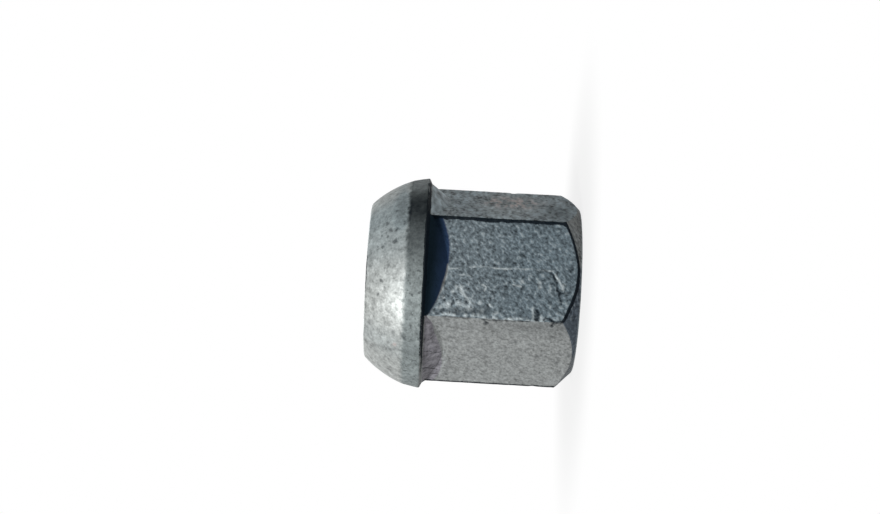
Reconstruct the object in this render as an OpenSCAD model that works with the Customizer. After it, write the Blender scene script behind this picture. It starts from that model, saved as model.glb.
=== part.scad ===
// Wheel lug nut: an open hex nut with a collar and a ball seat, forged in one piece.
// It stands on its hex end, with the thread along +Z and the seat on top.

/* [Hexagon] */
// Width across the flats
across_flats = 19; // [17:0.5:24]
// Overall height, from the hex end to the seat face
nut_height = 23; // [18:0.5:35]
// How far inside the flats the end face stops
end_face_inset = 0.45; // [0.1:0.05:1.5]
// Slope of the chamfer round the hex end, measured from the end face
end_chamfer_angle = 45; // [20:1:60]

/* [Collar] */
// How far the collar stands out past the hexagon's corners
collar_lip = 0.7; // [0.5:0.05:3]
// Height of the collar and seat together, from the rim's back edge to the seat face
head_height = 6.25; // [5:0.05:7.5]
// Height of the collar's rim, from its back edge to the ball
rim_height = 1.75; // [0.9:0.05:2.5]
// How much the rim's radius narrows towards the ball
rim_draft = 0.35; // [0:0.05:0.5]
// Width of the sloping ledge under the rim, across the axis
ledge_width = 0.6; // [0.1:0.05:0.65]
// Drop of that ledge, along the axis
ledge_drop = 0.3; // [0.05:0.05:0.6]
// Length of the flare, from the rim's back edge to its furthest reach on the flats
flare_length = 2.45; // [1:0.05:5]

/* [Ball seat] */
// How much larger the ball's radius is than the rim that it starts from
ball_margin = 0.7; // [0.3:0.05:2]
// Radius that rounds the edge between the ball and the seat face
seat_edge_round = 0.6; // [0.1:0.05:1]

/* [Thread] */
// Major diameter of the thread
thread_d = 12; // [10:0.5:14]
// Pitch of the thread
thread_pitch = 1.5; // [1:0.25:2]
// How much wider than the thread the countersinks open, on the radius
countersink_margin = 0.35; // [0.1:0.05:0.8]
// Full angle of the countersinks
countersink_angle = 90; // [60:5:120]

/* [Hidden] */
$fn = 96;

// Share of the pitch by which a metric thread's minor diameter falls short of its major diameter
THREAD_DEPTH = 1.0825;
// How far a shape runs on past the surface that it is cut by, or that it cuts
OVERRUN = 1;
// The rim's slope runs this far on above the ball's start, so that the two cross at a clean edge
CREASE_RUN = 0.2;
// The seat's rounded edge stands this little proud, so that it crosses the ball and the face cleanly
ROUND_PROUD = 0.002;

flat_r = across_flats / 2;
corner_r = flat_r / cos(30);
end_face_r = flat_r - end_face_inset;

collar_r = corner_r + collar_lip;
rim_front_r = collar_r - rim_draft;
rim_back_z = nut_height - head_height;
rim_front_z = rim_back_z + rim_height;
ledge_r = collar_r - ledge_width;
ledge_z = rim_back_z - ledge_drop;
flare_z = rim_back_z - flare_length;

ball_r = rim_front_r + ball_margin;
ball_z = rim_front_z - sqrt(ball_r ^ 2 - rim_front_r ^ 2);

bore_r = (thread_d - THREAD_DEPTH * thread_pitch) / 2;
countersink_r = thread_d / 2 + countersink_margin;

// Hexagon with a corner on +X, its end turned off to a chamfer
module hexagon_end() {
    chamfer_r = corner_r + OVERRUN;
    chamfer_z = (chamfer_r - end_face_r) * tan(end_chamfer_angle);
    intersection() {
        cylinder(h = ledge_z, r = corner_r, $fn = 6);
        rotate_extrude()
            polygon([[0, 0], [end_face_r, 0], [chamfer_r, chamfer_z], [chamfer_r, nut_height], [0, nut_height]]);
    }
}

// Half section of the flare, the ledge and the rim, left full where the ball is turned
module collar_section() {
    flare_slope = (ledge_r - flat_r) / (ledge_z - flare_z);
    rim_slope = rim_draft / rim_height;
    polygon([
        [0, flare_z - OVERRUN],
        [flat_r - flare_slope * OVERRUN, flare_z - OVERRUN],
        [ledge_r, ledge_z],
        [collar_r, rim_back_z],
        [rim_front_r - rim_slope * CREASE_RUN, rim_front_z + CREASE_RUN],
        [ball_r, nut_height],
        [0, nut_height]
    ]);
}

// Half section of the ball, run straight down below its middle
module ball_section() {
    translate([0, ball_z]) circle(r = ball_r);
    square([ball_r, ball_z]);
}

// What is cut from the half section to round the edge between the ball and the seat face
module seat_edge_section() {
    centre_z = nut_height - seat_edge_round;
    centre_r = sqrt((ball_r - seat_edge_round) ^ 2 - (centre_z - ball_z) ^ 2);
    to_ball = [centre_r, centre_z - ball_z] / (ball_r - seat_edge_round);
    to_face = [0, 1];
    reach = 2 * seat_edge_round;
    translate([centre_r, centre_z]) difference() {
        polygon([[0, 0], reach * to_ball, reach * (to_ball + to_face), reach * to_face]);
        circle(r = seat_edge_round + ROUND_PROUD);
    }
}

// Flare, collar and ball seat, turned about the axis
module round_head() {
    rotate_extrude() difference() {
        intersection() {
            collar_section();
            ball_section();
        }
        seat_edge_section();
    }
}

// One countersink, with its wide end at z = 0 and its cone running up
module countersink() {
    slope = tan(countersink_angle / 2);
    wide_r = countersink_r + OVERRUN * slope;
    translate([0, 0, -OVERRUN]) cylinder(h = wide_r / slope, r1 = wide_r, r2 = 0);
}

// Hole at the thread's minor diameter, with a countersink at each end
module stud_hole() {
    translate([0, 0, -OVERRUN]) cylinder(h = nut_height + 2 * OVERRUN, r = bore_r);
    countersink();
    translate([0, 0, nut_height]) mirror([0, 0, 1]) countersink();
}

module lug_nut() {
    color("#8d9293") difference() {
        union() {
            hexagon_end();
            round_head();
        }
        stud_hole();
    }
}

lug_nut();
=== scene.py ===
import math

import bpy
import numpy as np
from mathutils import Matrix, Vector, noise


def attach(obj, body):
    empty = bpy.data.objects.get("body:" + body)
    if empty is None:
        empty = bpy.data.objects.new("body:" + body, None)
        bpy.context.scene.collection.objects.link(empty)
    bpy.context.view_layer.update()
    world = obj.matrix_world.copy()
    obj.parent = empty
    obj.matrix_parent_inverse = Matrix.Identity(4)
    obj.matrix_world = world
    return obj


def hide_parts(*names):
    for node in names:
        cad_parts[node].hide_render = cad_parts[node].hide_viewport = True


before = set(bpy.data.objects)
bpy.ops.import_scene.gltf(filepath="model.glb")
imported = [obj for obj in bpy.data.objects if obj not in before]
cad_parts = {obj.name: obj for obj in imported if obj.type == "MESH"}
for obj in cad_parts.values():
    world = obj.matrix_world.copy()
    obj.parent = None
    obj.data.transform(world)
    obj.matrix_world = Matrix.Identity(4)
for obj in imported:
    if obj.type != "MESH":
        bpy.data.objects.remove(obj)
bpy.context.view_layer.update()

# A forged wheel nut that stands on its hex end, with the ball seat on top.
# The shapes below are worked out in millimetres and go into the mesh in metres.
MM = 0.001

# Sizes of the nut, as in the CAD model. Points of its section are (distance from the axis, height).
FLAT_R = 9.5
END_FACE_R = 9.05
FLARE_Z = 14.3
LEDGE = (11.0697, 16.45)
RIM_BACK = (11.6697, 16.75)
RIM_FRONT = (11.3197, 18.5)
HEIGHT = 23.0
BALL_R = 12.0197
BALL_Z = RIM_FRONT[1] - math.sqrt(BALL_R ** 2 - RIM_FRONT[0] ** 2)
SEAT_ROUND = 0.6
SEAT_ROUND_Z = HEIGHT - SEAT_ROUND
SEAT_ROUND_R = math.sqrt((BALL_R - SEAT_ROUND) ** 2 - (SEAT_ROUND_Z - BALL_Z) ** 2)
COUNTERSINK_R = 6.35
THREAD_MINOR_R, THREAD_MAJOR_R, PITCH = 5.188, 6.0, 1.5
FLARE_SLOPE = (LEDGE[0] - FLAT_R) / (LEDGE[1] - FLARE_Z)
CORNER_ROUND = 0.2

# The hexagon's flats, and the degrees about the axis that one flat and half of one take up
FLATS = 6
FLAT_TURN = 60
HALF_FLAT = 30

# Columns across one flat: even ones up to this angle from its middle, then closer ones by the corner
FLAT_COLUMNS = 72
EVEN_COLUMNS_END = 29.0
CORNER_COLUMNS = (29.34, 29.56, 29.78, 30.0)

# Stretches of the section below the ball, as (name, rounding at its start, rounding at its end, rows)
STRETCHES = (
    ("end", 0.1, 0.12, 5),
    ("chamfer", 0.12, 0.1, 6),
    ("flat", 0.1, 0.08, 72),
    ("flare", 0.08, 0.06, 14),
    ("ledge", 0.06, 0.15, 3),
    ("rim", 0.15, 0.14, 10),
)
BALL_ROUNDING, BALL_ROWS, SEAT_ROUND_ROWS = 0.14, 29, 6
MOUTH_ROUNDING, FACE_ROWS = 0.1, 7
# The most of a stretch that the rounding at one end takes up
ROUNDING_SHARE = 0.3

# Shares of the thread's pitch: half of its crest, and one flank
HALF_CREST, FLANK = 0.125, 0.3125
# Lines across one pitch: the crest's two edges, the flanks' middles and the root's two edges
THREAD_LINES = (0.125, 0.28, 0.4375, 0.5625, 0.72, 0.875)
# Depth at which a countersink has narrowed to the thread
THREAD_RUN = COUNTERSINK_R - THREAD_MAJOR_R


# Shape of the nut

def flat_offsets():
    """Angles of one flat's columns from its middle, in degrees, closest together at the corners."""
    inner = np.linspace(0, EVEN_COLUMNS_END, FLAT_COLUMNS // 2 - len(CORNER_COLUMNS) + 1)
    half = np.concatenate([inner, CORNER_COLUMNS])
    return np.concatenate([-half[:0:-1], half[:-1]])


def hexagon_reach(offset):
    """Distance from the axis to the hexagon's side, its corners a little rounded."""
    offset = np.abs(offset)
    half_flat = math.radians(HALF_FLAT)
    centre_r = (FLAT_R - CORNER_ROUND) / math.cos(half_flat)
    tangent = math.atan((FLAT_R - CORNER_ROUND) * math.tan(half_flat) / FLAT_R)
    from_corner = np.radians(HALF_FLAT - offset)
    rise = CORNER_ROUND ** 2 - (centre_r * np.sin(from_corner)) ** 2
    rounded = centre_r * np.cos(from_corner) + np.sqrt(np.maximum(rise, 0))
    flat = FLAT_R / np.cos(np.radians(offset))
    return np.where(np.radians(offset) > tangent, rounded, flat)


def rows_between(length, start, end, count):
    """Distances of a stretch's rows from its start: two for each end that is rounded, even ones between."""
    first = np.minimum(start, ROUNDING_SHARE * length)
    last = np.minimum(end, ROUNDING_SHARE * length)
    rows = [0 * length]
    if start:
        rows += [first / 2, first]
    for row in range(1, count):
        rows.append(first + (length - last - first) * row / count)
    if end:
        rows += [length - last, length - last / 2]
    return np.stack(rows, 1)


def arc(centre, size, turn):
    """Points of the section on a circle, at those turns up from level."""
    return np.stack([centre[0] + size * np.cos(turn), centre[1] + size * np.sin(turn)], 1)


def outer_section(reach):
    """Rows of the outer skin for every column, and the name of the stretch that each row lies on.

    The rows run from the lower countersink's mouth out, up, and in to the upper one's.
    """
    bends = [
        (COUNTERSINK_R, 0),
        (END_FACE_R, 0),
        (reach, reach - END_FACE_R),
        (reach, FLARE_Z + (reach - FLAT_R) / FLARE_SLOPE),
        LEDGE,
        RIM_BACK,
        RIM_FRONT,
    ]
    bends = [np.stack([r + 0 * reach, z + 0 * reach], 1) for r, z in bends]
    rows, names, creases = [], [], []
    for (name, start, end, count), a, b in zip(STRETCHES, bends, bends[1:]):
        length = np.linalg.norm(b - a, axis=1)
        along = rows_between(length, start, end, count)
        rows.append(a[:, None] + (b - a)[:, None] * (along / length[:, None])[:, :, None])
        creases.append(len(names))
        names += [name] * along.shape[1]
    creases.append(len(names))
    low = math.atan2(RIM_FRONT[1] - BALL_Z, RIM_FRONT[0])
    high = math.atan2(SEAT_ROUND_Z - BALL_Z, SEAT_ROUND_R)
    rounding = BALL_ROUNDING / BALL_R
    turn = np.concatenate([[low, low + rounding / 2], np.linspace(low + rounding, high, BALL_ROWS)])
    ball = arc((0, BALL_Z), BALL_R, turn)
    turn = np.linspace(high, math.pi / 2, SEAT_ROUND_ROWS)[1:-1]
    edge = arc((SEAT_ROUND_R, SEAT_ROUND_Z), SEAT_ROUND, turn)
    inward = rows_between(np.array([SEAT_ROUND_R - COUNTERSINK_R]), 0, MOUTH_ROUNDING, FACE_ROWS)[0]
    face = np.stack([SEAT_ROUND_R - inward, np.full(len(inward), HEIGHT)], 1)
    mouth = np.array([[COUNTERSINK_R, HEIGHT]])
    for name, part in (("ball", ball), ("ball", edge), ("face", face), ("face", mouth)):
        rows.append(np.broadcast_to(part, (len(reach),) + part.shape))
        names += [name] * len(part)
    section = np.concatenate(rows, 1)
    for row in creases[1:]:
        before, at, after = (section[:, row + beside].copy() for beside in (-2, 0, 2))
        for beside, share in ((-1, 0.25), (0, 0.5), (1, 0.75)):
            rounded = (1 - share) ** 2 * before + 2 * share * (1 - share) * at + share ** 2 * after
            section[:, row + beside] = rounded
    return section, np.array(names)


def thread_reach(angle, height):
    """Radius of the threaded hole: a right-hand metric thread that runs out into the countersinks."""
    phase = (height / PITCH - angle / 360) % 1
    from_crest = np.abs((phase + 0.5) % 1 - 0.5)
    depth = np.clip((from_crest - HALF_CREST) / FLANK, 0, 1)
    thread = THREAD_MINOR_R + (THREAD_MAJOR_R - THREAD_MINOR_R) * depth
    cone = COUNTERSINK_R - np.minimum(height, HEIGHT - height)
    return np.maximum(thread, cone)


def spin(radius, angle, height):
    """Points at that distance from the axis, that angle about it and that height."""
    turn = np.radians(angle)
    return np.stack([radius * np.cos(turn), radius * np.sin(turn), height + 0 * radius], -1)


class NutMesh:
    """Collects the nut's points and faces, and each face's places on the map of the finish."""

    def __init__(self):
        self.points, self.faces, self.places = [], [], []

    def add(self, points):
        """Adds points, and gives their numbers."""
        first = sum(len(p) for p in self.points)
        self.points.append(points)
        return first + np.arange(len(points))

    def face(self, corners, places):
        """One face, unless its corners fall together."""
        kept = [(c, p) for i, (c, p) in enumerate(zip(corners, places)) if c not in corners[:i]]
        if len(kept) > 2:
            self.faces.append([c for c, _ in kept])
            self.places += [p for _, p in kept]


# Where the areas lie on the map that the finish is laid out on.
# The skin and the hole are (left, bottom, width, height).
# The two faces are (middle across, middle up, half size).
MAP_SKIN = (0.004, 0.478, 0.992, 0.518)
MAP_BORE = (0.004, 0.006, 0.47, 0.46)
MAP_END, MAP_SEAT = (0.614, 0.235, 0.128), (0.868, 0.235, 0.128)
# Room round the end face on its disc
DISC_MARGIN = 0.6


def map_place(area, across, up):
    """Place on the map, at those shares of an area's width and height."""
    left, bottom, width, height = area
    return (left + width * across, bottom + height * up)


def disc_place(disc, point):
    """Place of a point of an end face on the map, seen flat."""
    middle_u, middle_v, size = disc
    scale = size / (END_FACE_R + DISC_MARGIN)
    return (middle_u + scale * point[0], middle_v + scale * point[1])


offsets = flat_offsets()
ANGLES = np.concatenate([FLAT_TURN * flat + HALF_FLAT + offsets for flat in range(FLATS)])
OFFSETS = np.tile(offsets, FLATS)
COLUMNS = len(ANGLES)
section, stretch_names = outer_section(hexagon_reach(OFFSETS))
ROWS = section.shape[1]
angle_grid = np.repeat(ANGLES[:, None], ROWS, 1)
offset_grid = np.repeat(OFFSETS[:, None], ROWS, 1)
radius, height = section[..., 0], section[..., 1]
skin = spin(radius, angle_grid, height)

along_rows = np.gradient(skin, axis=1)
along_columns = (np.roll(skin, -1, 0) - np.roll(skin, 1, 0)) / 2
outward = np.cross(along_columns, along_rows)
outward /= np.linalg.norm(outward, axis=2, keepdims=True)


# Where each point lies on the nut

# Flats by number, from the corner on +X, named as they lie when the nut is seen on its side.
# The corner with a flat's number is the one before it.
FAR_UPPER, BACK, FAR_LOWER, LOWER, FRONT, UPPER = range(FLATS)
flat_number = (angle_grid // FLAT_TURN).astype(int) % FLATS
corner_number = np.round(angle_grid / FLAT_TURN).astype(int) % FLATS
on_lower, on_front, on_upper = flat_number == LOWER, flat_number == FRONT, flat_number == UPPER
on_lower_or_front = on_front | on_lower
on = {name: np.broadcast_to(stretch_names == name, height.shape) * 1.0 for name in set(stretch_names)}
on_hexagon = on["flat"] + on["chamfer"]
on_side = on["flat"] + on["flare"]
across_flat = radius * np.sin(np.radians(offset_grid))
from_corner = (HALF_FLAT - np.abs(offset_grid)) * math.pi / 180 * radius


def by_flat(values):
    """One value for each flat, in the order of their numbers."""
    return np.array(values)[flat_number]


def by_corner(values):
    """One value for each corner, in the order of their numbers."""
    return np.array(values)[corner_number]


def by_angle(stops):
    """A value that changes round the nut, from stops of (angle, value)."""
    return np.interp(angle_grid, *zip(*stops))


def by_across(stops):
    """A value that changes across a flat, from stops of (place across, value)."""
    return np.interp(across_flat, *zip(*stops))


def step(value, low, high):
    """0 up to low, 1 from high on, and a smooth rise between."""
    share = np.clip((value - low) / (high - low), 0, 1)
    return share * share * (3 - 2 * share)


def bell(value, middle, half_width):
    """1 at the middle, with a smooth fall to both sides."""
    return np.exp(-((value - middle) / half_width) ** 2)


def past(low, high):
    """A smooth rise between two angles round the nut."""
    return step(angle_grid, low, high)


def sector(rise_from, rise_to, fall_from, fall_to):
    """A smooth rise between the first two angles round the nut, and a fall between the last two."""
    return past(rise_from, rise_to) * (1 - past(fall_from, fall_to))


def strongest(*marks):
    """The strongest of several marks at each point."""
    return np.maximum.reduce(marks)


# Marks of forging and use

# How much further along each direction the noise starts for the next seed
GRAIN_SHIFT = (17.3, 7.1, 3.7)


def grain(points, size, seed):
    """Smooth noise at each point, from -1 to 1, with lumps of about that size."""
    shift = Vector([seed * part for part in GRAIN_SHIFT])
    lumps = [noise.noise(Vector(p) / size + shift) for p in points.reshape(-1, 3).tolist()]
    return np.array(lumps).reshape(points.shape[:-1])


wide = grain(skin, size=4.0, seed=1)
middling = grain(skin, size=1.3, seed=2)
fine = grain(skin, size=0.5, seed=3)
rough = grain(skin, size=0.9, seed=4)
chips = grain(skin, size=0.42, seed=6)
nicking = grain(skin, size=1.1, seed=5)
rim_waves = grain(skin * [1, 1, 0.3], size=2.2, seed=8)

# Heights and depths of the marks
WAVE, RIPPLE, HAMMERING = 0.018, 0.01, 0.008
BATTERED_DEPTH, NICK_DEPTH = 0.04, 0.09
LIP_HEIGHT = 0.03
LAP_DEPTH, CRACK_DEPTH, FURROW_DEPTH = 0.08, 0.05, 0.02
PIT_DEPTH, SPOT_DEPTH = 0.035, 0.025
RIM_WAVE = 0.03

SCUFF = (0.6, 0.9, 0.5, 0.36, 1.0, 0.8)
scuff = by_flat(SCUFF) * on_hexagon
proud = WAVE * wide + RIPPLE * middling
proud += HAMMERING * fine * (0.35 + scuff)

# Nicks along the hexagon's corners
nick = step(nicking, 0.18, 0.55) * bell(from_corner, 0, 0.3) * on["flat"]
proud -= NICK_DEPTH * nick

# Where marks are laid: the flat's own places, bent a little so that no line runs true
bent_across = across_flat + 0.09 * fine + 0.07 * middling
bent_up = height + 0.09 * chips + 0.07 * rough
uneven = 1 + 0.45 * rough + 0.25 * chips


def patch(flat, across, up, half_width, half_height):
    """A soft-edged patch on one flat."""
    reach = ((across_flat - across) / half_width) ** 2 + ((height - up) / half_height) ** 2
    return (flat_number == flat) * on["flat"] * np.exp(-reach ** 2)


def line_distance(across, up, stops):
    """Distance of each point of a flat from a crooked line through the stops."""
    best = np.full(across.shape, np.inf)
    for (a0, h0), (a1, h1) in zip(stops, stops[1:]):
        run = (a1 - a0, h1 - h0)
        share = ((across - a0) * run[0] + (up - h0) * run[1]) / (run[0] ** 2 + run[1] ** 2)
        share = np.clip(share, 0, 1)
        best = np.minimum(best, np.hypot(across - a0 - share * run[0], up - h0 - share * run[1]))
    return best


def faded(away, half_width):
    """Strength of a mark: 1 in its middle, 0.6 at its edge, 0 from two and a half times as far out."""
    return np.clip(1 - 0.4 * (away / (half_width * uneven)), 0, 1)


def scored(flat, stops, half_width):
    """A crooked line on one flat, through stops of (across from its middle, up from the hex end)."""
    away = line_distance(bent_across, bent_up, stops)
    return (flat_number == flat) * on_hexagon * faded(away, half_width)


def dented(flat, places, half_width):
    """Small round marks on one flat, at places in the same terms."""
    away = np.min([np.hypot(bent_across - a, bent_up - h) for a, h in places], axis=0)
    return (flat_number == flat) * on["flat"] * faded(away, half_width)


def depth_of(mark):
    """How much of its full depth or height a mark has at each point."""
    return step(mark, 0.3, 0.95)


# Battered patches, the worst on the front flat by the collar and the worn corner, where a socket slipped
battered = np.clip(
    patch(FRONT, -4.2, 13.4, 1.5, 2.5)
    + 0.6 * patch(FRONT, -5.2, 9.5, 0.5, 3.0)
    + 0.7 * patch(FRONT, -5.2, 2.9, 0.9, 1.3)
    + 0.8 * patch(BACK, 4.4, 12.0, 1.2, 2.2)
    + 0.6 * patch(FAR_UPPER, -4.6, 4.5, 1.0, 2.0)
    + 0.7 * patch(FAR_LOWER, 4.9, 7.0, 0.6, 3.5),
    0, 1,
)
proud += battered * BATTERED_DEPTH * chips

# Metal pushed up in the battered patches and along the corner, and the dents between
raised = strongest(
    dented(FRONT, [(-4.18, 14.07)], 0.45),
    dented(FRONT, [(-3.97, 12.93), (-4.41, 11.89)], 0.34),
    dented(FRONT, [(-3.42, 14.54), (-3.85, 10.73), (-4.69, 10.44)], 0.23),
    dented(FRONT, [(-2.21, 12.78), (-3.83, 11.71), (-4.58, 14.82)], 0.23),
    dented(FRONT, [(-2.8, 13.66), (-2.17, 13.3), (-4.78, 8.93)], 0.19),
    dented(FRONT, [(-1.27, 6.36), (-1.24, 4.51), (-1.81, 4.44)], 0.19),
    scored(FRONT, [(-2.25, 12.84), (-2.68, 12.75), (-3.08, 12.31), (-3.9, 11.71)], 0.17),
    scored(FRONT, [(-1.87, 10.62), (-2.1, 10.11), (-2.47, 10.31)], 0.1),
    scored(FRONT, [(-3.94, 9.74), (-4.27, 9.38)], 0.1),
    scored(FRONT, [(-1.62, 7.33), (-1.85, 6.4)], 0.09),
    dented(FRONT, [(-5.24, 14.44), (-5.24, 13.95), (-5.25, 13.39)], 0.22),
    dented(FRONT, [(-5.25, 12.2), (-5.2, 11.36), (-5.14, 10.81)], 0.22),
    dented(FRONT, [(-5.31, 10.17), (-5.36, 9.12)], 0.25),
    0.8 * scored(FRONT, [(-5.38, 8.14), (-5.27, 6.19)], 0.15),
    dented(BACK, [(4.9, 13.1), (4.2, 12.2), (5.1, 11.2), (4.6, 9.6)], 0.2),
    scored(BACK, [(3.6, 13.4), (3.9, 12.9)], 0.1),
    dented(FAR_UPPER, [(-4.4, 5.4), (-5.0, 4.1), (-4.7, 2.9)], 0.2),
)
sunk = strongest(
    dented(FRONT, [(-3.78, 12.1), (-4.7, 13.2)], 0.3),
    dented(FRONT, [(-2.56, 14.44), (-5.1, 15.15), (-4.93, 12.78)], 0.17),
    dented(FRONT, [(-4.98, 9.21), (-3.4, 12.29), (-5.43, 10.93)], 0.17),
    0.8 * dented(FRONT, [(-1.6, 8.87), (-1.57, 10.28), (-2.63, 9.42)], 0.12),
    1.1 * dented(LOWER, [(4.68, 9.95)], 0.27),
    scored(LOWER, [(5.3, 10.3), (4.8, 9.95)], 0.17),
    dented(BACK, [(4.5, 12.0), (5.0, 11.4)], 0.22),
    dented(FAR_UPPER, [(-4.6, 4.6)], 0.22),
)

# Forging line along the front flat, weaker here and there, with furrows beside it and on other flats
breaks = step(0.6 * rough + 0.5 * fine, -0.5, 0.1)
ridge = (0.68 + 0.32 * breaks) * (0.85 + 0.3 * fine) * strongest(
    1.04 * scored(FRONT, [(-0.3, 14.2), (0.11, 10.5), (0.02, 8.4), (0.1, 5.6), (0.03, 3.1)], 0.09),
    scored(FRONT, [(-0.91, 13.19), (-0.85, 12.14), (-1.11, 11.71)], 0.09),
)
furrow = strongest(
    scored(FRONT, [(0.28, 12.62), (0.34, 11.5)], 0.1),
    scored(FRONT, [(0.33, 9.38), (0.35, 8.26)], 0.1),
    scored(FRONT, [(-0.18, 9.08), (-0.2, 8.37)], 0.09),
    scored(FRONT, [(-0.62, 13.21), (-0.65, 11.87)], 0.1),
    0.8 * scored(FRONT, [(0.4, 7.4), (0.42, 6.2)], 0.1),
    0.8 * scored(FRONT, [(-0.42, 5.6), (-0.3, 3.2)], 0.1),
    1.25 * scored(LOWER, [(5.3, 10.4), (5.2, 9.6), (5.28, 8.2)], 0.14),
    1.2 * scored(LOWER, [(5.3, 7.9), (5.34, 5.4)], 0.12),
    1.1 * scored(LOWER, [(5.35, 14.0), (5.3, 12.6), (5.36, 11.2)], 0.11),
    0.9 * scored(FAR_UPPER, [(0.3, 13.5), (0.2, 6.0)], 0.1),
    0.9 * scored(FAR_LOWER, [(-0.6, 13.8), (-0.5, 5.0), (-0.9, 3.2)], 0.1),
)

# The lap that the line ends in, and its bright lip
LAP = [(-0.1, 3.35), (-0.35, 3.15), (-1.13, 2.64), (-2.06, 2.61), (-2.36, 2.29), (-2.25, 1.38)]
lap = strongest(
    scored(FRONT, LAP, 0.13),
    scored(FRONT, [(-2.36, 2.3), (-2.67, 2.38), (-3.38, 2.1)], 0.12),
)
lap_lip = strongest(
    scored(FRONT, [(-0.32, 2.88), (-1.51, 2.1), (-2.02, 1.95)], 0.13),
    dented(FRONT, [(-1.5, 2.05), (-1.75, 2.0)], 0.22),
)

# Notch across the corner below the front flat, with its raised edge, and the cracks there and on far flats
notch = np.clip(1.3 * scored(FRONT, [(-4.4, 4.74), (-6.2, 4.56)], 0.19), 0, 1)
burr = strongest(
    0.85 * scored(FRONT, [(-3.96, 5.11), (-5.9, 4.98)], 0.14),
    0.9 * dented(FRONT, [(-5.05, 4.25), (-5.4, 4.15)], 0.25),
)
CORNER_CRACK = [(-5.28, 3.9), (-5.01, 3.65), (-5.29, 3.09), (-5.47, 2.78), (-5.46, 2.48), (-5.38, 1.9)]
cracks = strongest(
    scored(FRONT, CORNER_CRACK, 0.13),
    1.3 * scored(LOWER, [(5.5, 2.55), (4.7, 3.0)], 0.2),
    1.2 * dented(LOWER, [(5.4, 2.15)], 0.26),
    0.85 * scored(FAR_UPPER, [(-3.5, 3.0), (-1.0, 5.2), (1.0, 6.5)], 0.1),
    0.9 * scored(BACK, [(3.0, 3.5), (2.2, 9.0), (2.6, 12.0)], 0.1),
    0.8 * scored(FAR_LOWER, [(-2.0, 10.5), (-4.0, 6.0)], 0.12),
)
proud += LIP_HEIGHT * depth_of(strongest(ridge, lap_lip, burr, raised))
proud -= (
    LAP_DEPTH * depth_of(strongest(lap, notch))
    + CRACK_DEPTH * depth_of(strongest(cracks, sunk))
    + FURROW_DEPTH * depth_of(furrow)
)

# Pits, spread by chance over the head and the flats
PIT_COUNT = 170
chance = np.random.default_rng(12)
pits = np.zeros(height.shape)
for _ in range(PIT_COUNT):
    at = skin[chance.integers(COLUMNS), chance.integers(ROWS)]
    size = chance.uniform(0.12, 0.3)
    gap = ((skin - at) ** 2).sum(2)
    pits = np.maximum(pits, np.exp(-gap / size ** 2) * chance.uniform(0.3, 0.9))
pits *= on_hexagon + on["ball"] + on["rim"] + on["flare"]
proud -= PIT_DEPTH * pits

# Dark spots on the ball and along its crease, as (angle, height, size), and more by chance on the far side
FAR_SPOT_COUNT = 34
FULL_SPOT = 0.2
seat_spot_places = [
    (303.3, 20.02, 0.2), (301.4, 20.24, 0.15), (294.9, 20.95, 0.22), (290.0, 20.55, 0.22),
    (288.6, 19.88, 0.24), (288.7, 20.93, 0.18), (285.4, 20.77, 0.22), (281.7, 20.07, 0.22),
    (286.9, 21.5, 0.18), (279.2, 21.31, 0.2), (280.4, 21.87, 0.16), (302.4, 21.57, 0.14),
    (293.4, 19.04, 0.2), (291.7, 19.16, 0.18), (281.0, 21.04, 0.14), (275.8, 20.25, 0.14),
    (287.1, 18.72, 0.2), (281.2, 18.75, 0.18), (275.5, 18.54, 0.22), (283.5, 18.49, 0.2),
    (258.0, 21.3, 0.18), (254.0, 20.8, 0.15), (249.0, 21.6, 0.15), (232.0, 18.5, 0.14),
    (226.0, 18.55, 0.14), (229.0, 18.35, 0.12), (223.0, 18.4, 0.14), (220.5, 18.15, 0.12),
    (217.5, 18.3, 0.12), (212.0, 18.1, 0.12),
]
for _ in range(FAR_SPOT_COUNT):
    seat_spot_places.append((chance.normal(70, 38), chance.uniform(18.6, 22.2), chance.uniform(0.07, 0.2)))
seat_spots = np.zeros(height.shape)
bent_skin = skin + 0.2 * np.stack([fine, chips, rough], -1)
for angle, up, size in seat_spot_places:
    reach = math.sqrt(BALL_R ** 2 - (max(up, RIM_FRONT[1]) - BALL_Z) ** 2)
    gap = ((bent_skin - spin(np.array(reach), angle, up)) ** 2).sum(2)
    spot = min(1, size / FULL_SPOT) * np.exp(-gap / (1.6 * size * uneven) ** 2)
    seat_spots = np.maximum(seat_spots, spot)
proud -= SPOT_DEPTH * seat_spots

# Unevenness of the forged rim
proud += RIM_WAVE * on["rim"] * rim_waves

# The rows next to the countersinks stay where they are, so that both mouths of the hole stay round
STILL_ROWS = 3
moving = np.ones(ROWS)
moving[:STILL_ROWS] = moving[-STILL_ROWS:] = 0
skin = skin + outward * (proud * moving)[..., None]
skin[..., 2] = np.clip(skin[..., 2], 0, HEIGHT)


# Masks that the finish reads, one number at each point

# Painted shadow under the collar, as (angle, strength)
LEDGE_SHADE = (
    (0, 0.5), (180, 0.55), (192, 0.4), (203, 0.5), (217, 0.68), (230, 0.74), (240, 0.76),
    (258, 1.0), (302, 1.0), (318, 0.75), (335, 0.6), (348, 0.35), (360, 0.5),
)
LEDGE_MIDDLE = 16.6
ledge_shade = by_angle(LEDGE_SHADE)
ledge_shadow_line = (on["ledge"] + on["flare"]) * bell(height - 0.06 * rough, LEDGE_MIDDLE, 0.18) * ledge_shade
# The rim's back edge is darkened with the same painted shade
rim_back_shade = on["rim"] * bell(height - 0.08 * rough, RIM_BACK[1], 0.22) * ledge_shade

# Dirt along the hex end's chamfer. On the front flat it straddles the chamfer's edge.
END_ARC = (0.55, 0.8, 0.35, 0.1, 1.0, 0.3)
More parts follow.
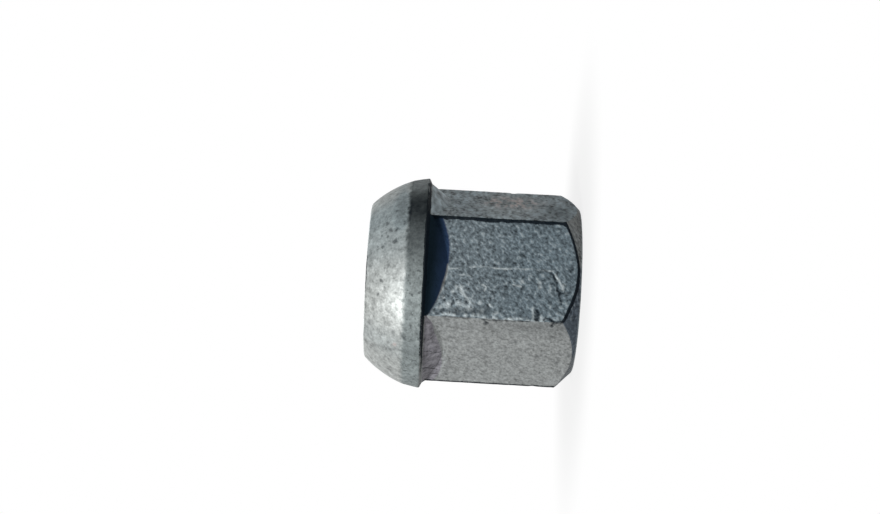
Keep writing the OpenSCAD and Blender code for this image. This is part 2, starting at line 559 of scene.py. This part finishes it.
# How far down from that edge, as (place across the flat, distance)
FRONT_ARC = ((-5.4, 0.0), (-3.7, 0.0), (-2, 0.08), (0.6, 0.06), (2.3, -0.04), (5.4, -0.1))
end_arc = on["flat"] * bell(height, radius - END_FACE_R, 0.3) * by_flat(END_ARC)
flat_end = np.hypot(FLAT_R, across_flat) - END_FACE_R
front_arc_width = 0.16 + 0.05 * step(-across_flat, -0.5, 1.0)
front_arc = on_hexagon * bell(height, flat_end - by_across(FRONT_ARC), front_arc_width)
end_arc = np.where(on_front, front_arc, end_arc)
# A painted highlight along the end face's edge, on the chamfer
end_edge = on["chamfer"] * np.exp(-((radius - END_FACE_R) ** 2 + height ** 2) / 0.38 ** 2)
# The chamfer's dark blue is painted shade. It is mostly left off from 276 to 350 degrees and about half off
# from 180 to 205 degrees
lit_chamfer = on["chamfer"] * (sector(270, 276, 350, 359) + 0.5 * sector(150, 180, 205, 214))
shaded_chamfer_share = 1 - 0.9 * lit_chamfer

# Corners: all but the worn one below the front flat keep a dark line
CORNER_DIRT = (0.6, 0.45, 0.7, 1.0, 0.0, 0.5)
CORNER_DIRT_WIDTH = (0.16, 0.16, 0.16, 0.32, 0.16, 0.16)
CORNER_WORN = (0.1, 0.5, 0.2, 0.1, 0.9, 0.0)
FRONT_TOP_EDGE = 5.35
corner_line = on["flat"] * bell(from_corner, 0, by_corner(CORNER_DIRT_WIDTH)) * by_corner(CORNER_DIRT)
top_edge = on_front * on["flat"] * bell(bent_across, FRONT_TOP_EDGE, 0.33 * uneven)
worn = on["flat"] * bell(from_corner, 0, 0.21) * by_corner(CORNER_WORN)
worn = worn * (1 - 0.45 * step(height, 9.5, 10.5))

# Dirt on the seat's rounded edge and in the crease between the rim and the ball
seat_edge = np.exp(-((radius - SEAT_ROUND_R - 0.25) ** 2 + (height - HEIGHT + 0.05) ** 2) / 0.2 ** 2)
seat_edge *= 0.35 + 0.35 * bell(angle_grid, 264, 18)
crease = (on["rim"] + on["ball"]) * bell(height, RIM_FRONT[1] + 0.1, 0.22)

# Dark scale in the flares, which spreads on to the front and lower flats. The dark is partly painted shade:
# darkest in the front flat's flare, and on the front flat itself it is the collar's painted shadow, which
# reaches furthest down by the upper corner.
FLARE_SCALE_AND_SHADE = (0.55, 0.35, 0.75, 0.05, 1.0, 0.2)
FLARE_TONE = (1.0, 0.8, 1.0, 1.0, 1.0, 0.25)
# How far the edge of the scale and the painted shadow lies up from its plain curve, as (place across the
# flat, shift)
FRONT_SHIFT = (
    (-5.3, -0.15), (-3.9, 0), (-1.9, 0.23), (0.9, 0.04), (2.7, -0.13), (4.4, -0.07), (5.3, 0),
)
LOWER_SHIFT = (
    (-5.3, -0.1), (-4.2, -0.22), (-2.6, -0.22), (-1, 0.05), (0.5, 0.28), (2, 0.38), (3.2, 0.36), (4.4, 0),
)
flare_edge = FLARE_Z + (np.hypot(FLAT_R, across_flat) - FLAT_R) / FLARE_SLOPE


def scale_and_shadow_edge_on(lowest, curve, toward_flare, shifts):
    """Height of the edge of the scale, and of the painted shadow, on a flat: a plain curve that turns into
    the flare's edge on one side.
    """
    spread = lowest + curve * across_flat ** 2 + 3 * step(toward_flare, -0.4, 1.6)
    return np.minimum(flare_edge, spread) + by_across(shifts)


front_edge = scale_and_shadow_edge_on(14.15, 0.035, -across_flat, FRONT_SHIFT)
lower_edge = scale_and_shadow_edge_on(14.35, 0.0325, across_flat, LOWER_SHIFT)
# On the front flat this edge is the edge of the collar's painted shadow
scale_and_shadow_edge = np.where(on_front, front_edge, np.where(on_lower, lower_edge, flare_edge))
near_scale_and_shadow = np.clip(0.5 + (height - scale_and_shadow_edge) / 0.5, 0, 1) * on_side + 0.9 * on["ledge"] * on_front
scale = np.where(on_lower_or_front, near_scale_and_shadow, on["flare"])
scale_and_shadow_rim = on_side * bell(height, scale_and_shadow_edge - 0.22, 0.13) * on_lower_or_front
# A painted highlight: a pale line on the upper flare just under the ledge
under_ledge = 0.6 * on["flare"] * bell(height, 16.28, 0.13) * on_upper

# Streaks along the flares. On the lower one each keeps its distance from a plane through the axis.
# The plane runs out at this angle, and the streaks are (distance, strength).
LEVEL_ANGLE = 257.1
LEVEL_STREAKS = (
    (9.1, 0.95), (8.66, 0.5), (8.08, 0.6), (7.53, 0.55), (7.2, 0.85), (6.6, 0.4), (5.95, 0.6), (4.92, 0.45),
)
# Streaks that are stronger than this run on unbroken
UNBROKEN = 0.9
FAR_STREAK_ANGLES = (44, 52, 131, 158, 170)
level = radius * np.sin(np.radians(LEVEL_ANGLE - angle_grid)) + 0.14 * rough + 0.1 * middling
streak_breaks = step(fine + middling, -0.35, 0.2)
flare_streaks = np.zeros(height.shape)
for at, strength in LEVEL_STREAKS:
    drawn = strength * bell(level, at, 0.085) * on_lower
    flare_streaks = np.maximum(flare_streaks, drawn if strength > UNBROKEN else drawn * streak_breaks)
for at in FAR_STREAK_ANGLES:
    flare_streaks = np.maximum(flare_streaks, 0.7 * bell(angle_grid - 1.5 * middling, at, 0.6))

# A dark film on the head, mostly painted shade: heaviest on the upper side of the rim, where it turns away
# from the light, with weaker bands at other angles
film_and_shade = 0.12 * past(248, 260) + 0.66 * past(260, 286) + 0.34 * past(287, 301)
film_and_shade = film_and_shade * (1 - 0.75 * past(305, 325)) * (1 - past(346, 359))
film_and_shade += 0.27 * bell(angle_grid, 219, 9)
film_and_shade += 0.2 * sector(120, 150, 165, 185)
# Painted shade on the ball's upper side
seat_shade = past(285, 296) * bell(height, 19.5, 0.6)

# The same film on the flats: on the lower one by the worn corner, on the front one in its battered edge,
# and at the upper one's end
flat_film = on["flat"] * on_lower * step(across_flat, 1.8, 4.6) * (0.34 - 0.2 * step(height, 3.5, 9))
flat_film += 0.3 * patch(UPPER, -1.5, 2.8, 3.2, 1.5) + 0.62 * patch(FRONT, -4.8, 12.2, 0.36, 3.2)

# Paler zinc on parts of the rim and on the upper flat, partly painted light: the rim lightened near its top
# and low down, and the upper flare's slope lightened against its shade
pale_zinc_and_sheen = on["rim"] * (sector(312, 328, 350, 359) + 0.1 * bell(angle_grid, 196, 9))
pale_zinc_and_sheen += 0.22 * on_upper * on_side * step(height, 13.4, 14.6)
pale_zinc_and_sheen += 0.4 * patch(UPPER, 0, 8.0, 6, 3.4)

# Rust on three flats, and one short streak of it that leans across the ball
RUST_ANGLE, RUST_Z, RUST_LEAN = 219.925, 19.65, 1.5
rust = (
    0.9 * patch(UPPER, 1.2, 7.6, 2.6, 3.4)
    + 0.6 * patch(BACK, -2.0, 9.0, 2.5, 3.0)
    + 0.5 * patch(FAR_UPPER, 3.0, 3.0, 2.0, 1.6)
)
rust_streak = on["ball"] * bell(angle_grid + RUST_LEAN * (height - RUST_Z), RUST_ANGLE, 1.0)
rust_streak = rust_streak * np.exp(-((height - RUST_Z) / 0.55) ** 4)

# How far each flat takes the darker blue: fully on the front flat, where it is painted shade, partly on the
# far flats
FLAT_TONE_AND_SHADE = (0.3, 0.55, 0.2, 0.0, 1.0, 0.0)
BLOOM = (0.5, 0.2, 0.6, 0.0, 0.0, 1.0)
# Dark lines: dirt, and the painted shade under the collar and on the rim's back
dirt_and_shade_line = ledge_shadow_line + end_arc + top_edge + 0.8 * corner_line + seat_edge + 0.36 * crease + 0.85 * rim_back_shade
flare_cuts = np.clip(flare_streaks, 0, 0.9) * on["flare"]
chips_by_scale_and_shadow = 0.65 * breaks * scale_and_shadow_rim
masks = {
    "head": on["rim"] + on["ball"] + on["face"],
    "seat": on["ball"] + on["face"],
    "flare": scale * by_flat(FLARE_TONE),
    "chamfer": on["chamfer"] * shaded_chamfer_share,
    "end_face": on["end"],
    "turned": on["end"] + on["face"],
    "scuff": scuff,
    "flat_tone_and_shade": by_flat(FLAT_TONE_AND_SHADE) * on_hexagon * shaded_chamfer_share * (1 - 0.12 * step(height, 6, 12)),
    "bloom": by_flat(BLOOM) * on_side,
    "flare_scale_and_shade": by_flat(FLARE_SCALE_AND_SHADE) * scale,
    "film_and_shade": film_and_shade * (on["rim"] + on["ball"] * (1 + 1.7 * seat_shade)) + flat_film,
    "pale_zinc_and_sheen": pale_zinc_and_sheen,
    "dirt_and_shade_line": np.clip(dirt_and_shade_line, 0, 1),
    "cuts": strongest(lap, notch, cracks, 0.72 * furrow, 0.9 * sunk, flare_cuts),
    "pits": np.clip(pits * 0.8 + nick * 0.5, 0, 1),
    "seat_spots": seat_spots,
    "battered": battered,
    "bright": strongest(ridge, burr, lap_lip, raised, 0.72 * end_edge, chips_by_scale_and_shadow, under_ledge),
    "worn": worn,
    "rust": np.clip(rust * 0.9 + rust_streak, 0, 1),
    "bore": 0 * height,
}


# Mesh of the nut

nut = NutMesh()
skin_at = nut.add(skin.reshape(-1, 3)).reshape(COLUMNS, ROWS)

# Way along the section, for the layout of the finish
mean_section = section.mean(0)
way = np.concatenate([[0], np.cumsum(np.linalg.norm(np.diff(mean_section, axis=0), axis=1))])
first_up = np.flatnonzero(stretch_names == "end")[-1] + 1
last_up = np.flatnonzero(stretch_names == "face")[0]
way = (way - way[first_up]) / (way[last_up] - way[first_up])

for column in range(COLUMNS):
    after = (column + 1) % COLUMNS
    left, right = column / COLUMNS, (column + 1) / COLUMNS
    for row in range(ROWS - 1):
        above = row + 1
        corners = [skin_at[column, row], skin_at[after, row], skin_at[after, above], skin_at[column, above]]
        if row < first_up:
            places = [disc_place(MAP_END, nut.points[0][c]) for c in corners]
        elif row >= last_up:
            places = [disc_place(MAP_SEAT, nut.points[0][c]) for c in corners]
        else:
            round_face = ((left, row), (right, row), (right, above), (left, above))
            places = [map_place(MAP_SKIN, u, way[r]) for u, r in round_face]
        nut.face(corners, places)

# Threaded hole, with half as many columns as the skin
BORE_COLUMNS = COLUMNS // 2
# Lines of the thread that come this near to a countersink end on its ring
TOUCHING = 1e-6
bore_angles = ANGLES[::2]
low_z, high_z = THREAD_RUN, HEIGHT - THREAD_RUN
turns = math.ceil((high_z - low_z) / PITCH) + 1
lines = np.concatenate([turn + np.array(THREAD_LINES) for turn in range(-1, turns + 1)])
line_z = np.clip(PITCH * (lines[None, :] + bore_angles[:, None] / 360), low_z, high_z)
bore = spin(thread_reach(bore_angles[:, None], line_z), bore_angles[:, None], line_z)
low_ring = nut.add(spin(np.full(BORE_COLUMNS, THREAD_MAJOR_R), bore_angles, low_z))
high_ring = nut.add(spin(np.full(BORE_COLUMNS, THREAD_MAJOR_R), bore_angles, high_z))
at_low, at_high = line_z <= low_z + TOUCHING, line_z >= high_z - TOUCHING
bore_at = np.where(at_low, low_ring[:, None], high_ring[:, None])
inside = ~(at_low | at_high)
bore_at[inside] = nut.add(bore[inside])

for column in range(BORE_COLUMNS):
    after = (column + 1) % BORE_COLUMNS
    # The thread has climbed by one pitch where the last column meets the first
    climb = len(THREAD_LINES) if after == 0 else 0
    left, right = column / BORE_COLUMNS, (column + 1) / BORE_COLUMNS
    for line in range(len(lines) - 1 - climb):
        beside = line + climb
        spots = ((column, line + 1), (after, beside + 1), (after, beside), (column, line))
        corners = [bore_at[spot] for spot in spots]
        rounds = zip((left, right, right, left), spots)
        places = [map_place(MAP_BORE, u, line_z[spot] / HEIGHT) for u, spot in rounds]
        nut.face(corners, places)
    for line in range(climb):
        corners = [low_ring[column], bore_at[after, line + 1], bore_at[after, line]]
        ups = [low_z, line_z[after, line + 1], line_z[after, line]]
        places = [map_place(MAP_BORE, u, z / HEIGHT) for u, z in zip((left, right, right), ups)]
        nut.face(corners, places)

# Countersinks, from each mouth in to the thread: three faces to a column of the hole
for ring, ring_z, row, mouth_z, flip in (
    (low_ring, low_z, 0, 0.0, False),
    (high_ring, high_z, ROWS - 1, HEIGHT, True),
):
    for column in range(BORE_COLUMNS):
        a, b, c = (skin_at[(2 * column + k) % COLUMNS, row] for k in range(3))
        p, q = ring[column], ring[(column + 1) % BORE_COLUMNS]
        u = [(column + share) / BORE_COLUMNS for share in (0, 0.5, 1)]
        outer = [map_place(MAP_BORE, x, mouth_z / HEIGHT) for x in u]
        inner = [map_place(MAP_BORE, x, ring_z / HEIGHT) for x in (u[0], u[2])]
        for corners, places in (
            ([a, p, b], [outer[0], inner[0], outer[1]]),
            ([b, p, q], [outer[1], inner[0], inner[1]]),
            ([b, q, c], [outer[1], inner[1], outer[2]]),
        ):
            nut.face(corners[::-1] if flip else corners, places[::-1] if flip else places)

# Edges that turn by more than this stay sharp in the shading
SHARP_TURN = math.radians(40)
points = np.concatenate(nut.points) * MM
mesh = bpy.data.meshes.new("lug_nut_forging")
mesh.from_pydata(points.tolist(), [], [list(map(int, f)) for f in nut.faces])
layout = mesh.uv_layers.new(name="OFBake")
layout.uv.foreach_set("vector", np.array(nut.places, np.float32).ravel())
for name, values in masks.items():
    spread = np.zeros(len(points), np.float32)
    spread[:values.size] = values.ravel()
    if name == "bore":
        spread[values.size:] = 1
    mesh.attributes.new(name, "FLOAT", "POINT").data.foreach_set("value", spread)
mesh.polygons.foreach_set("use_smooth", np.ones(len(mesh.polygons), bool))
mesh.set_sharp_from_angle(angle=SHARP_TURN)
mesh.validate()
mesh.update()
forging = bpy.data.objects.new("lug_nut_forging", mesh)
bpy.context.scene.collection.objects.link(forging)


# Finish

class Shade:
    """A value or colour that changes over the metal: one socket, with its maths written as Python."""

    def __init__(self, finish, socket):
        self.finish, self.socket = finish, socket

    def maths(self, operation, first, second):
        return self.finish.node("ShaderNodeMath", {"operation": operation}, {0: first, 1: second})

    def vector_maths(self, operation, sockets, out=0):
        return self.finish.node("ShaderNodeVectorMath", {"operation": operation}, {0: self, **sockets}, out)

    def __add__(self, other):
        return self.maths("ADD", self, other)

    def __radd__(self, other):
        return self.maths("ADD", other, self)

    def __sub__(self, other):
        return self.maths("SUBTRACT", self, other)

    def __rsub__(self, other):
        return self.maths("SUBTRACT", other, self)

    def __mul__(self, other):
        return self.maths("MULTIPLY", self, other)

    def __rmul__(self, other):
        return self.maths("MULTIPLY", other, self)

    def greater(self, other):
        return self.maths("MAXIMUM", self, other)

    def ramp(self, low, high, start=0.0, end=1.0):
        """The value spread softly from start, where it is low, to end, where it is high."""
        sockets = {0: self, 1: low, 2: high, 3: start, 4: end}
        return self.finish.node("ShaderNodeMapRange", {"interpolation_type": "SMOOTHSTEP"}, sockets)

    def scaled(self, value):
        """A colour or place, times a value."""
        return self.vector_maths("SCALE", {"Scale": value})

    def stretched(self, factors):
        """A place, with each direction times its own factor."""
        return self.vector_maths("MULTIPLY", {1: factors})

    def along(self, direction):
        """How far a place lies in that direction."""
        return self.vector_maths("DOT_PRODUCT", {1: direction}, "Value")

    def length(self):
        """How far a place lies from the middle."""
        return self.vector_maths("LENGTH", {}, "Value")


class Finish:
    """One material, built node by node."""

    def __init__(self, tree):
        self.tree = tree
        self.tree.nodes.clear()

    def node(self, kind, settings=None, sockets=None, out=0):
        """Adds a node: its settings first, then the values or links of its sockets. Gives one output."""
        made = self.tree.nodes.new(kind)
        for key, value in (settings or {}).items():
            setattr(made, key, value)
        for key, value in (sockets or {}).items():
            if isinstance(value, Shade):
                self.tree.links.new(value.socket, made.inputs[key])
            else:
                made.inputs[key].default_value = value
        return Shade(self, made.outputs[out]) if made.outputs else None

    def mix(self, share, first, second):
        return self.node("ShaderNodeMix", {"data_type": "RGBA"}, {0: share, 6: first, 7: second}, out=2)

    def mask(self, name):
        return self.node("ShaderNodeAttribute", {"attribute_name": name}, out="Fac")

    def noise(self, place, size, detail, roughness):
        """Noise from 0 to 1, with lumps of about that size in millimetres."""
        sockets = {"Vector": place, "Scale": 1 / size, "Detail": detail, "Roughness": roughness}
        return self.node("ShaderNodeTexNoise", {}, sockets, out="Fac")


# Colours of the metal and of what lies on it, and of painted shade and light
FLAT_GREY = (0.307, 0.321, 0.319, 1)
FRONT_SHADE_BLUE = (0.146, 0.187, 0.213, 1)
BLOOM_GREY = (0.322, 0.385, 0.418, 1)
CHAMFER_SHADE_BLUE = (0.116, 0.144, 0.177, 1)
END_GREY = (0.24, 0.25, 0.252, 1)
FLARE_MAUVE = (0.258, 0.252, 0.278, 1)
RIM_GREY = (0.252, 0.285, 0.285, 1)
PALE_ZINC_AND_SHEEN = (0.47, 0.52, 0.53, 1)
# The seat's worn colour, and its bluer colour under the film and painted shade
SEAT_BRIGHT, SEAT_FILM_AND_SHADE = (0.392, 0.411, 0.401, 1), (0.355, 0.415, 0.43, 1)
BORE_GREY = (0.24, 0.24, 0.235, 1)
RUST_STAIN = (0.45, 0.39, 0.375, 1)
SPECK_BRIGHT = (0.42, 0.46, 0.465, 1)
CHIP_AND_HIGHLIGHT_BRIGHT = (0.56, 0.62, 0.635, 1)
# Scale, painted with the navy and black of shade under the collar
SCALE_AND_SHADE_NAVY, SCALE_AND_SHADE_BLACK = (0.025, 0.05, 0.108, 1), (0.01, 0.023, 0.036, 1)
GRIME_AND_SHADE_BLACK = (0.003, 0.007, 0.012, 1)

# Heights between which the seat's tone begins, and between which the scale and its painted shade darken
# towards the ledge
SEAT_TONE_Z = (18.45, 19.05)
SCALE_AND_SHADE_DARKEN_Z = (14.6, 16.5)
# Middle of a noise, about which it makes the metal lighter or darker
MID = 0.5
BUMP_STRENGTH, BUMP_DEPTH = 0.8, 0.1 * MM
SPECULAR = 0.06


def zinc_steel():
    """Dull zinc on forged steel: mottled, worn bright on the seat, with scale, grime, a little rust and
    painted shade and highlights.
    """
    material = bpy.data.materials.new("zinc_steel_worn")
    material.use_nodes = True
    f = Finish(material.node_tree)
    place = f.node("ShaderNodeTexCoord", out="Object").scaled(1 / MM)
    up = place.along((0, 0, 1))
    head, seat, flare, bore = f.mask("head"), f.mask("seat"), f.mask("flare"), f.mask("bore")
    chamfer, end_face, turned = f.mask("chamfer"), f.mask("end_face"), f.mask("turned")
    flat_tone_and_shade, bloom, scuff = f.mask("flat_tone_and_shade"), f.mask("bloom"), f.mask("scuff")
    flare_scale_and_shade, film_and_shade, pale_zinc_and_sheen = f.mask("flare_scale_and_shade"), f.mask("film_and_shade"), f.mask("pale_zinc_and_sheen")
    dirt_and_shade_line, cuts, pits = f.mask("dirt_and_shade_line"), f.mask("cuts"), f.mask("pits")
    seat_spots, battered, bright = f.mask("seat_spots"), f.mask("battered"), f.mask("bright")
    worn, rust = f.mask("worn"), f.mask("rust")

    # Grain: hammered specks that lie aslant, finer ones between, blotches and clouds
    aslant = f.node("ShaderNodeCombineXYZ", {}, {
        0: place.along((0.57, 0.2, 0.57)),
        1: place.along((0.7, 0.1, -0.7)),
        2: place.along((0.1, 1.0, 0.1)),
    })
    speck = f.noise(aslant, size=0.34, detail=1.0, roughness=0.5)
    fine = f.noise(place, size=0.22, detail=1.0, roughness=0.5)
    chip = f.noise(place, size=0.42, detail=1.0, roughness=0.5)
    blotch = f.noise(place, size=0.6, detail=2.0, roughness=0.5)
    mottle = f.noise(place, size=1.0, detail=3.0, roughness=0.6)
    cloud = f.noise(place, size=3.5, detail=2.0, roughness=0.5)

    # Streaks up the flares, patches drawn out round the nut, and turning rings on the two faces
    streak = f.noise(place.stretched((1.0, 1.0, 0.12)), size=0.5, detail=2.0, roughness=0.6)
    patchy = f.noise(place.stretched((0.36, 0.36, 1.0)), size=0.6, detail=1.5, roughness=0.5)
    from_axis = f.node("ShaderNodeCombineXYZ", {}, {0: place.stretched((1.0, 1.0, 0.0)).length()})
    ring = f.noise(from_axis, size=0.22, detail=2.0, roughness=0.6)

    # Colours of the areas
    # The flats' grey, with the darker blue that paints shade on the front flat
    colour = f.mix(flat_tone_and_shade, FLAT_GREY, FRONT_SHADE_BLUE)
    colour = f.mix(bloom, colour, BLOOM_GREY)
    # Painted shade on the chamfer
    colour = f.mix(chamfer, colour, CHAMFER_SHADE_BLUE)
    colour = f.mix(end_face, colour, END_GREY)
    colour = f.mix(flare.ramp(0.4, 0.6), colour, FLARE_MAUVE)
    colour = f.mix(head, colour, RIM_GREY)
    # Paler zinc, partly painted light on the rim and the upper flare
    colour = f.mix(pale_zinc_and_sheen, colour, PALE_ZINC_AND_SHEEN)
    seated = seat * (up + mottle * 0.7 + blotch * 0.2 - 0.45).ramp(*SEAT_TONE_Z)
    # Bluer where the film and painted shade lie on the seat
    colour = f.mix(seated, colour, f.mix(film_and_shade * 0.8, SEAT_BRIGHT, SEAT_FILM_AND_SHADE))
    colour = f.mix(bore, colour, BORE_GREY)
    colour = f.mix(rust * patchy.ramp(0.4, 0.6), colour, RUST_STAIN)

    # Lighter and darker by the grain, the blotches and the streaks
    lightness = 1 + (speck - MID) * (0.35 + scuff * 2.1) + battered * 0.2
    lightness = lightness + bloom * ((patchy - MID) * 2.8 + (mottle - MID) * 0.8)
    lightness = lightness + (fine - MID) * (0.8 - bloom * 0.45) + (blotch - MID) * (0.35 + head * 0.75)
    lightness = lightness + (mottle - MID) * (0.5 + head * 0.3) + (cloud - MID) * 0.3
    lightness = lightness + flare * (streak - MID) * 2.2 + turned * (ring - MID) * 0.9
    colour = colour.scaled(lightness.greater(0.1))
    colour = f.mix(speck.ramp(0.54, 0.8) * scuff * 0.55, colour, SPECK_BRIGHT)

    # Bright chips in the battered patches, along the raised marks and on the worn corner, and painted
    # highlights on the end face's edge and under the upper ledge
    chips_and_highlights = battered * chip.ramp(0.52, 0.68) * 0.5
    chips_and_highlights = chips_and_highlights.greater(bright.ramp(0.32, 0.98) * (0.5 + speck))
    chips_and_highlights = chips_and_highlights.greater(worn * chip.ramp(0.46, 0.6) * 0.75)
    colour = f.mix(chips_and_highlights * 0.74, colour, CHIP_AND_HIGHLIGHT_BRIGHT)

    # Dark scale in the flares, with painted shade: navy low down and black under the collar
    scale_and_shade_share = (flare_scale_and_shade + (mottle - MID) * 0.16).ramp(0.2, 0.72)
    scale_and_shade_colour = f.mix((up + mottle * 0.6).ramp(*SCALE_AND_SHADE_DARKEN_Z), SCALE_AND_SHADE_NAVY, SCALE_AND_SHADE_BLACK)
    colour = f.mix(scale_and_shade_share, colour, scale_and_shade_colour)

    # Grime along the creases, in the cuts and pits, on the seat, in the battered patches and over the rim,
    # with painted shade under the collar, on the rim's back and on the head's upper side
    grime_and_shade = (dirt_and_shade_line + (fine - MID) * 0.5).ramp(0.35, 0.62) * 0.95
    grime_and_shade = grime_and_shade.greater(cuts.ramp(0.35, 0.9) * (1.3 - speck))
    grime_and_shade = grime_and_shade.greater(pits * (0.4 + fine * 0.6))
    grime_and_shade = grime_and_shade.greater((seat_spots + (fine - MID) * 0.9 + (speck - MID) * 0.3).ramp(0.25, 0.85) * 0.62)
    grime_and_shade = grime_and_shade.greater(battered * chip.ramp(0.42, 0.3) * 0.75)
    grime_and_shade = grime_and_shade.greater((head - seat) * chip.ramp(0.41, 0.3) * 0.45)
    grime_and_shade = grime_and_shade.greater(film_and_shade * (1 - seated * 0.8) * (0.6 + mottle * 0.36))
    colour = f.mix(grime_and_shade, colour, GRIME_AND_SHADE_BLACK)
    grime_and_shade = grime_and_shade.greater(scale_and_shade_share)

    relief = (speck * 1.3 + fine * 0.4) * (0.15 + scuff) + blotch * 0.5
    relief = relief + battered * chip * 1.6 + turned * ring
    bump = {"Strength": BUMP_STRENGTH, "Distance": BUMP_DEPTH, "Height": relief}
    metal = f.node("ShaderNodeBsdfPrincipled", {}, {
        "Base Color": colour,
        "Metallic": (0.16 + seated * 0.4 + bore * 0.4 + chips_and_highlights * 0.3 - head * 0.08) * (1 - grime_and_shade),
        "Roughness": 0.54 + 0.3 * (mottle - MID) + grime_and_shade * 0.25 - bore * 0.15 - seated * 0.04,
        "Specular IOR Level": SPECULAR,
        "Normal": f.node("ShaderNodeBump", {}, bump, out="Normal"),
    })
    f.node("ShaderNodeOutputMaterial", {}, {"Surface": metal})
    return material


forging.data.materials.append(zinc_steel())
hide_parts("lug_nut")
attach(forging, "root")


# Studio: a pale floor, a white surround, a soft lamp in front and a weaker one behind

WHITE = (1, 1, 1, 1)
FLOOR_GREY = (0.4, 0.4, 0.395, 1)
SURROUND_GREY, SURROUND_STRENGTH = (0.95, 0.98, 1, 1), 0.08
FLOOR_R, FLOOR_SIDES, FLOOR_DROP = 0.9, 64, 0.02 * MM
# The floor goes over to white between these distances from the nut's axis, from this share of white
WHITENS_FROM, WHITENS_TO, NEAR_WHITE = 0.011, 0.03, 0.84


def white_to_the_eye(f):
    """1 for what the camera sees, and for what metal or glass shows, else 0."""
    seen = f.node("ShaderNodeLightPath", out="Is Camera Ray")
    for kind in ("Is Glossy Ray", "Is Transmission Ray"):
        seen = seen.greater(f.node("ShaderNodeLightPath", out=kind))
    return seen


def pale_floor():
    """A pale matt floor that keeps the nut's shadow, and looks white further out."""
    material = bpy.data.materials.new("pale_floor")
    material.use_nodes = True
    f = Finish(material.node_tree)
    from_nut = f.node("ShaderNodeTexCoord", out="Object").length()
    matt = f.node("ShaderNodeBsdfDiffuse", {}, {"Color": FLOOR_GREY})
    white = f.node("ShaderNodeEmission", {}, {"Color": WHITE, "Strength": 1.0})
    share = white_to_the_eye(f) * from_nut.ramp(WHITENS_FROM, WHITENS_TO, NEAR_WHITE, 1.0)
    surface = f.node("ShaderNodeMixShader", {}, {0: share, 1: matt, 2: white})
    f.node("ShaderNodeOutputMaterial", {}, {"Surface": surface})
    return material


floor_turns = [math.tau * side / FLOOR_SIDES for side in range(FLOOR_SIDES)]
floor_points = [(FLOOR_R * math.cos(turn), FLOOR_R * math.sin(turn), 0) for turn in floor_turns]
floor_mesh = bpy.data.meshes.new("floor")
floor_mesh.from_pydata(floor_points, [], [list(range(FLOOR_SIDES))])
floor = bpy.data.objects.new("floor", floor_mesh)
floor.location.z = -FLOOR_DROP
floor.data.materials.append(pale_floor())
bpy.context.scene.collection.objects.link(floor)

world = bpy.data.worlds.new("white_surround")
bpy.context.scene.world = world
world.use_nodes = True
surround = Finish(world.node_tree)
dim = surround.node("ShaderNodeBackground", {}, {"Color": SURROUND_GREY, "Strength": SURROUND_STRENGTH})
white = surround.node("ShaderNodeBackground", {}, {"Color": WHITE, "Strength": 1.0})
seen = surround.node("ShaderNodeMixShader", {}, {0: white_to_the_eye(surround), 1: dim, 2: white})
surround.node("ShaderNodeOutputWorld", {}, {"Surface": seen})


def soft_lamp(name, azimuth, elevation, distance, size, watts):
    """A square soft lamp that points at the nut from that side. Azimuth is from +X, in degrees."""
    lamp = bpy.data.lights.new(name, "AREA")
    lamp.shape, lamp.size, lamp.energy = "SQUARE", size, watts
    turn, rise = math.radians(azimuth), math.radians(elevation)
    toward = Vector((math.cos(turn) * math.cos(rise), math.sin(turn) * math.cos(rise), math.sin(rise)))
    made = bpy.data.objects.new(name, lamp)
    made.location = toward * distance + Vector((0, 0, HEIGHT / 2 * MM))
    made.rotation_euler = toward.to_track_quat("Z", "Y").to_euler()
    bpy.context.scene.collection.objects.link(made)


soft_lamp("key_lamp", azimuth=233, elevation=37, distance=0.35, size=0.05, watts=1.04)
soft_lamp("fill_lamp", azimuth=78, elevation=35, distance=0.4, size=0.15, watts=0.6)

# Camera at the photo's viewing angle: square to the nut's axis and on its side, with the seat on the left
TURN, ROLL = math.radians(12.918), math.radians(3.176)
DISTANCE, RIGHT_OF_NUT, BELOW_NUT = 187.3, -3.511, -3.196
LENS, SENSOR = 68.72, 36.0
CLIP_NEAR, CLIP_FAR = 0.005, 5.0
ahead = Vector((math.sin(TURN), math.cos(TURN), 0))
side = Vector((math.cos(TURN), -math.sin(TURN), 0))
axis = Vector((0, 0, 1))
to_right = side * math.sin(ROLL) - axis * math.cos(ROLL)
to_bottom = -side * math.cos(ROLL) - axis * math.sin(ROLL)
camera_data = bpy.data.cameras.new("camera")
camera_data.lens, camera_data.sensor_width = LENS, SENSOR
camera_data.clip_start, camera_data.clip_end = CLIP_NEAR, CLIP_FAR
camera = bpy.data.objects.new("camera", camera_data)
stand = axis * (HEIGHT / 2) - ahead * DISTANCE + to_right * RIGHT_OF_NUT + to_bottom * BELOW_NUT
facing = Matrix((to_right, -to_bottom, -ahead)).transposed().to_4x4()
camera.matrix_world = Matrix.Translation(stand * MM) @ facing
bpy.context.scene.collection.objects.link(camera)
bpy.context.scene.camera = camera
bpy.context.scene.view_settings.view_transform = "Standard"

bpy.context.view_layer.update()
